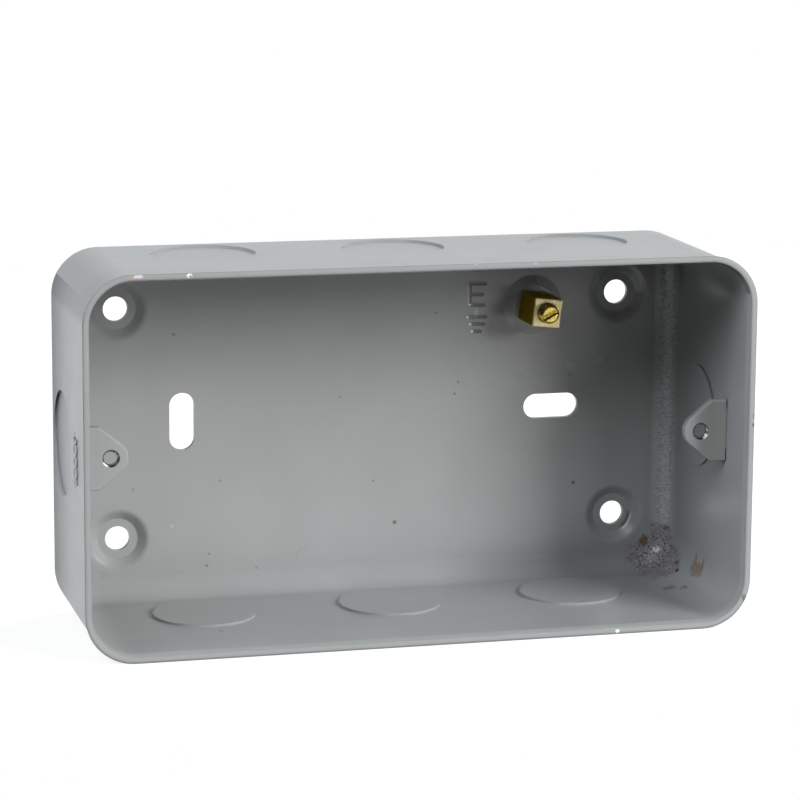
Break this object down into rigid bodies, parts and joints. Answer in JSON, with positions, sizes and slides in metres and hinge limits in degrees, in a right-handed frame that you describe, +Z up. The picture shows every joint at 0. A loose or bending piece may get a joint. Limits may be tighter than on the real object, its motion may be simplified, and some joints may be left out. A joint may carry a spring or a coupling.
{
  "type": "grid mounting box",
  "caption": "Rectangular drawn steel mounting box for wiring accessories, open at the front, with tapped fixing lugs, conduit knockouts and an earth terminal.",
  "frame": {"origin": "centre of the four corner fixing holes, on the plane of the wall that the box is screwed to", "axes": "+X along the length, +Z up, +Y into the wall, so the open face looks along -Y"},
  "size_m": [0.135, 0.047, 0.0756],
  "materials": {
    "shell_paint": "mid-grey semi-gloss enamel on sheet steel, chipped at the rim",
    "lug_paint": "mid-grey semi-gloss enamel on steel plate",
    "block_brass": "drawn bar, sawn front face",
    "screw_brass": "bright turned"
  },
  "bodies": {
    "root": {"box_shell": "shell_paint", "fixing_lug_left": "lug_paint", "fixing_lug_right": "lug_paint", "earth_terminal_block": "block_brass", "earth_terminal_screw": "screw_brass"}
  },
  "joints": []
}
